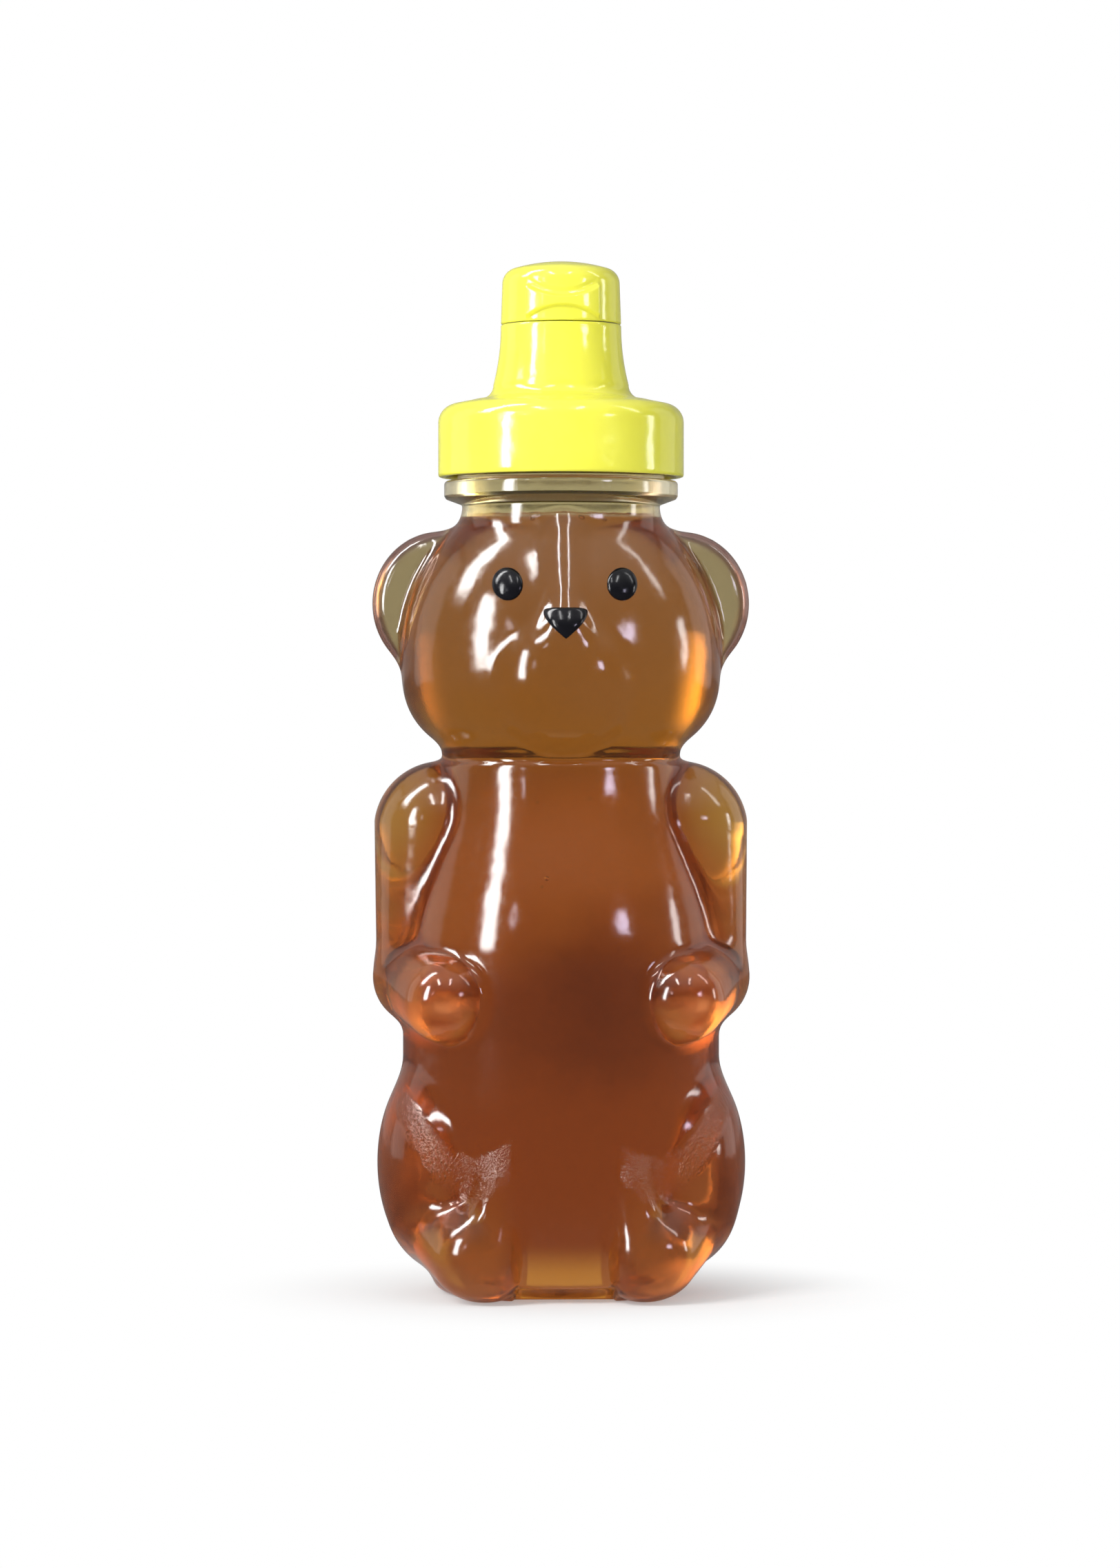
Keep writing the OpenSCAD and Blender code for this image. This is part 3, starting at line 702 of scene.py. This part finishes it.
def build_honey():
    verts, quads = nets(honey_field(gx, gy, gz), grid)
    return mesh("honey_fill", settle(honey_field, verts), quads, HONEY_MAT)


bottle, honey = build_bottle(), build_honey()


# Eyes and nose, a little larger than their solids
EYE_RX, EYE_RZ = 2.5, 2.72


def on_skin(x, z):
    """Points of the face at these x and z, found from the front."""
    lo, hi = np.full_like(x, -40.0), np.full_like(x, 0.0)
    for _ in range(30):
        y = (lo + hi) / 2
        out = skin(x, y, z) > 0
        lo, hi = np.where(out, y, lo), np.where(out, hi, y)
    return np.stack([x, (lo + hi) / 2, z], 1)


def patch(name, cx, cz, outline, height, n=72, rings=14):
    """A thick film of paint that follows the skin inside an outline."""
    sunk = 0.25
    t = np.arange(n) * 2 * math.pi / n
    rho = np.sin(np.linspace(0, 1, rings + 1)[1:] * math.pi / 2)
    r = outline(t)
    x = np.concatenate([[cx]] + [cx + s * r * np.cos(t) for s in rho])
    z = np.concatenate([[cz]] + [cz + s * r * np.sin(t) for s in rho])
    base = on_skin(x, z)
    normal = slope(skin, base)
    normal /= np.linalg.norm(normal, axis=1)[:, None]
    share = np.concatenate([[0]] + [np.full(n, s) for s in rho])
    verts = np.concatenate([base + normal * height(share)[:, None], base - normal * sunk])
    # points of the underside come k after those of the top
    k, last = len(base), 1 + (rings - 1) * n
    faces = []
    for i in range(n):
        j = (i + 1) % n
        faces.append((1 + j, 1 + i, 0))
        faces.append((k + 1 + i, k + 1 + j, k))
        for a in range(1, last, n):
            b = a + n
            faces.append((a + j, b + j, b + i, a + i))
            faces.append((k + b + i, k + b + j, k + a + j, k + a + i))
        faces.append((last + j, k + last + j, k + last + i, last + i))
    return mesh(name, verts, faces, PAINT_MAT)


def dome(rise, flat):
    """Thickness of a film from its middle, 0, to its edge, 1."""
    at_edge = 0.06
    return lambda s: at_edge + rise * np.maximum(1 - s ** flat, 0) ** 0.5


def eye(t):
    return 1 / np.sqrt((np.cos(t) / EYE_RX) ** 2 + (np.sin(t) / EYE_RZ) ** 2)


def snout(t):
    """Rounded triangle, point down, with its corners drawn out a little."""
    def side(azimuth, reach):
        return np.cos(t - math.radians(azimuth)) / reach
    sides = np.maximum.reduce([side(90, 1.85), side(-38, 2.25), side(218, 2.25)])
    round_off = 1 / 3.6
    r = 1 / (sides ** 5 + round_off ** 5) ** 0.2
    return r * (1 + 0.16 * np.cos(t) ** 2) * (1 + 0.05 * np.maximum(np.sin(t), 0) ** 6)


left_eye = patch("eye_left", -EYE_X, EYE_Z, eye, dome(0.95, 2.0))
right_eye = patch("eye_right", EYE_X, EYE_Z, eye, dome(0.95, 2.0))
nose = patch("nose_paint", 0.0, NOSE_Z + 0.35, snout, dome(0.55, 6.0))


# Closure and liner
CAP_N, LINER_N = 240, 120


def tower_at(t):
    """Radius of the tower from its foot, 0, to the parting line, 1."""
    return PARTING_R + (TOWER_R - PARTING_R) * (1 - t) ** 2


def flatten(t, r, here):
    """Cuts the rear of a turned form flat, for the hinge."""
    return np.where(here & (r * np.sin(t) > FLAT_Y), FLAT_Y / np.maximum(np.sin(t), 0.5), r)


def build_closure():
    corner, fillet, nozzle_r = 3.2, 2.4, ORIFICE_R + 1.3
    skirt_in, tower_in = SKIRT_R - SKIRT_T, TOWER_R - CAP_WALL
    foot, roof = DECK_Z + fillet, PARTING_Z - CAP_WALL
    # up the skirt, over the deck and up the tower
    loop = [(SKIRT_R - 0.35, SKIRT_Z), (SKIRT_R - 0.1, SKIRT_Z + 0.1), (SKIRT_R, SKIRT_Z + 0.4)]
    loop += upright(SKIRT_R, SKIRT_Z + 0.9, DECK_Z - corner - 1.2, 14)
    loop += arc(SKIRT_R - corner, DECK_Z - corner - 0.8, corner, 0, 78, 14)
    loop += [(15.8, DECK_Z - 0.42), (14.6, DECK_Z - 0.14)]
    loop += arc(TOWER_R + fillet, foot, fillet, 268, 180, 12)
    loop += [(tower_at(t), mix(foot, PARTING_Z - 0.2, t)) for t in np.linspace(0.06, 1, 18)]
    loop += [(PARTING_R - 0.08, PARTING_Z - 0.05), (PARTING_R - 0.3, PARTING_Z)]
    # over the nozzle and down its orifice
    loop += level(PARTING_Z, PARTING_R - 1, nozzle_r + 0.3, 8)
    loop += [(nozzle_r + 0.05, PARTING_Z + 0.15), (nozzle_r - 0.1, PARTING_Z + 0.6),
             (nozzle_r - 0.2, NOZZLE_Z - 0.25), (nozzle_r - 0.4, NOZZLE_Z),
             (ORIFICE_R + 0.3, NOZZLE_Z), (ORIFICE_R, NOZZLE_Z - 0.25),
             (ORIFICE_R, PARTING_Z), (ORIFICE_R, roof + 0.1)]
    # down the inside
    loop += level(roof, ORIFICE_R + 0.2, PARTING_R - CAP_WALL - 0.3, 6)
    loop += [(tower_at(t) - CAP_WALL, mix(foot, roof, t)) for t in np.linspace(0.97, 0, 12)]
    loop += [(tower_in, DECK_IN + 0.3), (tower_in + 0.2, DECK_IN)]
    loop += level(DECK_IN, TOWER_R, skirt_in - 0.4, 8)
    loop += [(skirt_in - 0.1, DECK_IN - 0.1)]
    loop += upright(skirt_in, DECK_IN - 0.5, SKIRT_Z + 0.5, 60)
    loop += [(skirt_in + 0.15, SKIRT_Z + 0.1), (skirt_in + 0.4, SKIRT_Z)]

    def bend(t, r, z):
        inside = (np.abs(r - skirt_in) < 0.05) & (z < DECK_IN - 0.4) & (z > SKIRT_Z + 0.4)
        r = r - np.where(inside, 0.75 * thread(t, z, 0.5, 0.8, 1.6), 0)
        return flatten(t, r, (z > PARTING_Z - FLAT_UP) & (z < PARTING_Z + 0.05)), z
    return mesh("closure_body", *lathe(loop, CAP_N, bend=bend), CAP_MAT)


def build_lid():
    top_corner, shoulder, ceiling = 2.65, LID_TOP - 3.7, LID_TOP - 1.5
    crown = arc(LID_R - top_corner, shoulder, top_corner, 0, 72, 14)
    crown_r, crown_z = crown[-1]
    outer = [(PARTING_R - 0.3, LID_Z), (PARTING_R - 0.06, LID_Z + 0.06)]
    outer += [(mix(PARTING_R - 0.02, LID_R, t), mix(LID_Z + 0.3, shoulder, t))
              for t in np.linspace(0, 1, 46)[:-1]]
    outer += crown
    outer += [(crown_r * (1 - t), mix(crown_z, LID_TOP, 1 - (1 - t) ** 2))
              for t in np.linspace(0.06, 0.985, 16)]
    # the plug pin, and the inside from its root outwards
    pin, wall_r, wall_z = ORIFICE_R - 0.08, LID_R - CAP_WALL - 1, ceiling - 1
    inner = [(0.05, NOZZLE_Z - 0.9), (pin - 0.5, NOZZLE_Z - 0.88), (pin - 0.15, NOZZLE_Z - 0.6),
             (pin, NOZZLE_Z)]
    inner += upright(pin, NOZZLE_Z + 1, ceiling - 0.4, 6)
    inner += [(pin + 0.12, ceiling - 0.1), (pin + 0.5, ceiling)]
    inner += level(ceiling, pin + 1, wall_r, 5)
    inner += arc(wall_r, wall_z, 1, 80, 0, 5)
    inner += [(mix(LID_R, PARTING_R, t) - CAP_WALL, mix(wall_z, LID_Z, t))
              for t in np.linspace(0.15, 1, 8)]

    def bend(t, r, z):
        """Adds the thumb ledge in front, which is thinnest in the middle."""
        middle, half, scoop, out, reach = LID_Z + 3.3, 0.85, 9.5, 0.9, 6
        x, y = r * np.cos(t), r * np.sin(t)
        dip = np.sqrt(np.maximum(scoop ** 2 - x * x, 0))
        high, low = middle + half + scoop - dip, middle - half - scoop + dip
        to_end = reach - np.abs(x)
        edge = np.minimum(np.minimum(high - z, z - np.maximum(low, LID_Z + 0.4)), to_end)
        lift = out * np.clip(edge / 0.3, 0, 1) ** 0.5
        # the thumb hollow bites a little into the wall above the ledge
        bite = 0.25 * np.clip(1 - np.abs(z - high - 0.7) / 0.7, 0, 1) * np.clip(to_end / 1.5, 0, 1)
        on_outside = np.arange(r.shape[0])[:, None] < len(outer)
        r = r + np.where(on_outside & (y < 0), lift - bite, 0)
        return flatten(t, r, (z < LID_Z + FLAT_UP) & on_outside), z
    return mesh("flip_lid_shell", *lathe(outer + inner, CAP_N, bend=bend), CAP_MAT)


def build_hinge():
    """A web that is thin and a little narrower in its middle, where it folds."""
    low, high, middle = PARTING_Z - 1.9, LID_Z + 1.9, (PARTING_Z + LID_Z) / 2
    rows, cols, round_off = 41, 25, 0.35
    verts, faces = [], []
    for back in (0, 1):
        for i in range(rows):
            z = mix(low, high, i / (rows - 1))
            thin = HINGE_T * (1 - 0.55 * math.exp(-((z - middle) / 0.35) ** 2))
            edge = min(1, (min(z - low, high - z) + 0.12) / round_off) ** 0.5
            for j in range(cols):
                u = 2 * j / (cols - 1) - 1
                x = u * (HINGE_W / 2 - 0.5 * math.exp(-((z - middle) / 0.6) ** 2))
                rim = min(1, (1 - abs(u)) * HINGE_W / 2 / round_off + 0.35) ** 0.5
                verts.append((x, FLAT_Y + 0.02 + back * thin * edge * rim, z))
    n = rows * cols
    for i in range(rows - 1):
        for j in range(cols - 1):
            a = i * cols + j
            faces.append((a, a + 1, a + cols + 1, a + cols))
            faces.append((n + a, n + a + cols, n + a + cols + 1, n + a + 1))
    for i in range(rows - 1):
        for j in (0, cols - 1):
            a, b = i * cols + j, (i + 1) * cols + j
            faces.append((a, b, n + b, n + a) if j == 0 else (a, n + a, n + b, b))
    for j in range(cols - 1):
        for i in (0, rows - 1):
            a, b = i * cols + j, i * cols + j + 1
            faces.append((a, n + a, n + b, b) if i == 0 else (a, b, n + b, n + a))
    return mesh("hinge_web", verts, faces, CAP_MAT)


def build_liner():
    z = MOUTH_Z + SEAT_GAP
    loop = rounded([(0.05, z, 0), (FINISH_R - FINISH_T + 0.2, z, 0), (FINISH_R - 0.8, z + 0.06, 0.1),
                    (FINISH_R + 1.2, z, 0.12), (FINISH_R + 1.2, z + LINER_T, 0.12),
                    (0.05, z + LINER_T, 0)], step=0.9)
    return mesh("liner_disc", *lathe(loop, LINER_N), LINER_MAT)


closure, lid, hinge, liner = build_closure(), build_lid(), build_hinge(), build_liner()


def build_bubbles():
    """Air bubbles in the honey: a few at set places, and the rest at random."""
    around, rings, flat = 16, 8, 0.92
    balls = [(-2.9, -20.5, 69.6, 0.42), (-3.7, -20.9, 68.3, 0.24), (-9, 4, 127.3, 0.5),
             (6, -9, 128.6, 0.4), (2.5, -12.3, 128.9, 0.55), (-4.6, -11.6, 128.9, 0.45)]
    for _ in range(10):
        a, d = random.uniform(0, 6.28), random.uniform(4, 14)
        z, r = random.uniform(60, 128), random.uniform(0.15, 0.3)
        balls.append((d * math.cos(a), d * math.sin(a), z, r))
    verts, faces = [], []
    for cx, cy, cz, r in balls:
        start = len(verts)
        for i in range(1, rings + 1):
            p = math.pi * i / (rings + 1)
            for j in range(around):
                t = 2 * math.pi * j / around
                verts.append((cx + r * math.sin(p) * math.cos(t), cy + r * math.sin(p) * math.sin(t),
                              cz + flat * r * math.cos(p)))
        top, bottom, last = len(verts), len(verts) + 1, start + (rings - 1) * around
        verts += [(cx, cy, cz + flat * r), (cx, cy, cz - flat * r)]
        for j in range(around):
            k = (j + 1) % around
            faces.append((top, start + j, start + k))
            faces.append((bottom, last + k, last + j))
            for a in range(start, last, around):
                faces.append((a + j, a + around + j, a + around + k, a + k))
    return mesh("honey_bubbles", verts, faces, BUBBLE_MAT)


bubbles = build_bubbles()

for piece, body, slot_name, cad in (
        (bottle, "bottle", "clear_wall", "bottle"), (honey, "bottle", "honey", "honey"),
        (left_eye, "bottle", "paint", "left_eye"), (right_eye, "bottle", "paint", "right_eye"),
        (nose, "bottle", "paint", "nose"), (liner, "liner", "liner", "seal_liner"),
        (closure, "closure", "closure", "closure_base"), (lid, "lid", "closure", "flip_lid")):
    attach(piece, body)
    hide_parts(cad)
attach(bubbles, "bottle")
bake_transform(hinge)
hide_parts("living_hinge")


# Stage, light and camera
def light_paths(nt):
    """Marks of camera rays, glossy rays, rays that passed through a surface, and glossy rays
    that are plain mirror images."""
    path = node(nt, "ShaderNodeLightPath").outputs
    camera, glossy, through = (path[f"Is {kind} Ray"] for kind in ("Camera", "Glossy", "Transmission"))
    return camera, glossy, through, most(nt, minus(nt, glossy, through), 0)


def build_floor():
    n, floor_z = 96, -0.02
    radii = [0.5, 60, 120, 200, 320, 500, 900, 1800, 4000]
    verts = [(0, 0, floor_z)]
    for r in radii:
        for i in range(n):
            t = 2 * math.pi * i / n
            verts.append((r * math.cos(t), r * math.sin(t), floor_z))
    faces = []
    for i in range(n):
        j = (i + 1) % n
        faces.append((0, 1 + i, 1 + j))
        for k in range(len(radii) - 1):
            a, b = 1 + k * n, 1 + (k + 1) * n
            faces.append((a + i, b + i, b + j, a + j))
    m, nt, _ = new_material("floor", {
        "Base Color": (0.95, 0.95, 0.95, 1), "Roughness": 0.8, "Specular IOR Level": 0.0})
    x, y, _ = split(nt, place(nt))
    camera, glossy, through, mirrored = light_paths(nt)
    glow = node(nt, "ShaderNodeEmission", Color=(1, 1, 1, 1))
    # reflections see less of it, so that the honey keeps its depth of colour
    nt.links.new(minus(nt, 1, times(nt, mirrored, 0.85)), glow.inputs["Strength"])
    # white away from the bear, and a plain surface with its shadow near the feet
    seen = most(nt, most(nt, camera, glossy), through)
    share = times(nt, remap(nt, distance(nt, x, y), 15, 62, 0.3, 1), seen)
    joined = node(nt, "ShaderNodeMixShader")
    nt.links.new(share, joined.inputs[0])
    nt.links.new(nt.nodes["Principled BSDF"].outputs[0], joined.inputs[1])
    nt.links.new(glow.outputs[0], joined.inputs[2])
    nt.links.new(joined.outputs[0], nt.nodes["Material Output"].inputs["Surface"])
    mesh("floor", verts, faces, m, smooth=False)


def build_world():
    world = bpy.data.worlds.new("studio")
    bpy.context.scene.world = world
    world.use_nodes = True
    nt = world.node_tree
    camera, _, through, mirrored = light_paths(nt)
    backdrop = most(nt, camera, through)
    way = split(nt, node(nt, "ShaderNodeTexCoord").outputs["Generated"])
    # reflections: a dim room in front and at the sides, the white backdrop behind, light from above
    room = most(nt, remap(nt, way[1], 0.25, 0.75, 0.10, 0.35), remap(nt, way[2], 0.35, 0.95, 0.10, 0.8))
    plain_light = 0.42
    rest = plus(nt, times(nt, mirrored, room), times(nt, minus(nt, 1, mirrored), plain_light))
    back = nt.nodes["Background"].inputs
    nt.links.new(plus(nt, backdrop, times(nt, minus(nt, 1, backdrop), rest)), back["Strength"])
    back["Color"].default_value = (1, 1, 1, 1)


def glow_material(name, strength, color, least):
    """Light that follows the attribute "glow" from its least level to its full strength."""
    m = bpy.data.materials.new(name)
    m.use_nodes = True
    nt = m.node_tree
    nt.nodes.remove(nt.nodes["Principled BSDF"])
    share = attribute(nt, "glow")
    light = node(nt, "ShaderNodeEmission")
    nt.links.new(remap(nt, share, 0, 1, least, strength), light.inputs["Strength"])
    nt.links.new(blend_colors(nt, share, WHITE, color), light.inputs["Color"])
    nt.links.new(light.outputs[0], nt.nodes["Material Output"].inputs["Surface"])
    return m


def sheet(name, corner, u, v, strength, color=WHITE, behind=False, soft=0.3):
    """A glowing card with soft edges that only reflections see, or only what passes through."""
    n = 24
    share = np.linspace(-1, 1, n + 1)
    verts = [corner + u * (i + 1) / 2 + v * (j + 1) / 2 for i in share for j in share]
    starts = [i * (n + 1) + j for i in range(n) for j in range(n)]
    faces = [(a, a + n + 1, a + n + 2, a + 1) for a in starts]
    material = glow_material(name, strength, color, 1.0 if behind else 0.1)
    made = mesh(name, verts, faces, material, smooth=False)
    edge = ramp(1 - np.abs(share), 0, soft)
    mark(made, "glow", np.outer(edge, edge).ravel())
    made.visible_camera = made.visible_diffuse = made.visible_shadow = False
    made.visible_transmission, made.visible_glossy = behind, not behind


def card(name, azimuth, away, low, high, width, strength, **more):
    """An upright card around the bear. Azimuth 0 is in front, and 90 is on the picture's right."""
    a = math.radians(azimuth)
    out = np.array([math.sin(a), -math.cos(a), 0]) * away
    across = np.array([math.cos(a), math.sin(a), 0]) * width
    sheet(name, out - across / 2 + (0, 0, low), across, np.array([0, 0, high - low]), strength, **more)


def tube(name, left, right, strength):
    """A long narrow light overhead."""
    height, front, back = 1500, -1500, -600
    sheet(name, np.array([left, front, height]), np.array([right - left, 0, 0]),
          np.array([0, back - front, 0]), strength)


def lamp(name, location, size, watts):
    """A square lamp, aimed at the middle of the bear. Its lengths are in metres."""
    aim = Vector((0, 0, 0.09))
    light = bpy.data.lights.new(name, "AREA")
    light.shape, light.size, light.size_y = "RECTANGLE", size, size
    light.energy = watts
    made = bpy.data.objects.new(name, light)
    bpy.context.scene.collection.objects.link(made)
    made.location = location
    made.rotation_mode = "QUATERNION"
    made.rotation_quaternion = (Vector(location) - aim).to_track_quat("Z", "Y")
    made.visible_glossy = made.visible_transmission = made.visible_camera = False


build_floor()
build_world()
lamp("key", (-0.65, -0.65, 0.6), 0.5, 10)
lamp("fill", (0.7, -0.5, 0.45), 0.7, 0.8)
card("chest_left", -54, 900, 40, 690, 180, 30)
card("crown_left", -82, 500, 300, 1600, 130, 32)
card("chest_right", 90, 900, 60, 380, 110, 11)
card("crown_right", 80, 500, 330, 1000, 60, 9)
card("window_right", 44, 900, 235, 400, 150, 18, color=(0.78, 0.74, 1.0))
card("pane_left", -36, 900, 280, 440, 50, 10, color=(0.9, 0.88, 1.0))
card("sheen_left", -112, 900, -100, 900, 520, 0.9)
card("sheen_right", 118, 900, -100, 900, 520, 0.9)
card("glow_back", -112, 900, -300, 900, 1600, 11, color=(1.0, 0.80, 0.30), behind=True, soft=1)
card("blush_back", 112, 900, -300, 900, 1300, 3, color=(1.0, 0.72, 0.6), behind=True, soft=1)
tube("tube_left", -560, -430, 30)
tube("tube_right", 330, 440, 26)


def build_camera():
    """Upright camera in front of the bear, a little to its left. Lengths are in metres."""
    away, height, azimuth, aside = 0.870, 0.093, math.radians(-1.8), -0.00017
    seen_height = 0.2632
    picture_height, above_middle = 2274, 1137 - 1069
    data = bpy.data.cameras.new("camera")
    data.sensor_width = 36
    data.lens = data.sensor_width * away / seen_height
    data.shift_y = -above_middle / picture_height
    data.clip_start, data.clip_end = 0.01, 20
    made = bpy.data.objects.new("camera", data)
    bpy.context.scene.collection.objects.link(made)
    made.location = (math.sin(azimuth) * away + aside * math.cos(azimuth),
                     -math.cos(azimuth) * away + aside * math.sin(azimuth), height)
    made.rotation_euler = (math.pi / 2, 0, azimuth)
    bpy.context.scene.camera = made


build_camera()
scene = bpy.context.scene
scene.view_settings.view_transform = "Standard"
scene.cycles.max_bounces = 48
scene.cycles.transmission_bounces = 48
scene.cycles.glossy_bounces = 24
